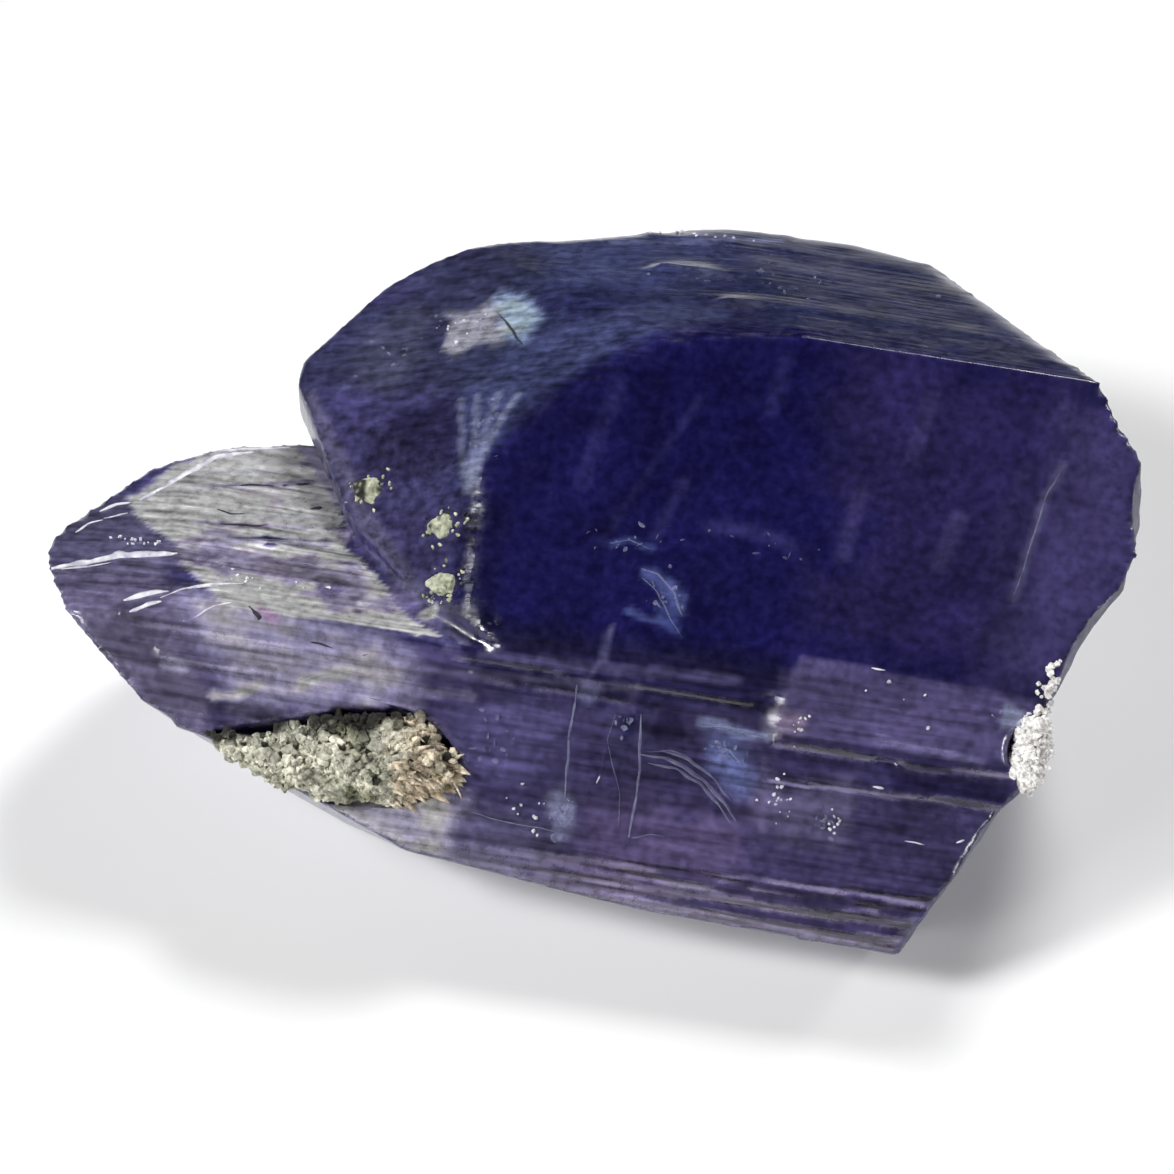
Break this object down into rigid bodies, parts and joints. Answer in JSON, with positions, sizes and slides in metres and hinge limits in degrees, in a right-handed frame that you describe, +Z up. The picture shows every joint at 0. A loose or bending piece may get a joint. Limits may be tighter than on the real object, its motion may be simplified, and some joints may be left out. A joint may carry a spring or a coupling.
{
  "type": "rough tanzanite crystal specimen",
  "caption": "Rough blue violet tanzanite: flat faced tabular crystals in parallel growth, broken at one end, with bits of host rock.",
  "frame": {"origin": "middle of the stone's footprint, on the surface it rests on", "axes": "+X along the growth direction and its striations, toward the broken end; +Y toward the back; +Z up from the flat underside"},
  "size_m": [0.0394, 0.0272, 0.0148],
  "materials": {
    "tanzanite": "glassy, striated",
    "matrix_rock": "granular, matte",
    "matrix_grain": "matte",
    "calcite": "matte"
  },
  "bodies": {
    "root": {"crystal": "tanzanite", "matrix_crust": "matrix_rock", "matrix_grain_1": "matrix_grain", "matrix_grain_2": "matrix_grain", "matrix_grain_3": "matrix_grain", "calcite_chip": "calcite"}
  },
  "joints": []
}
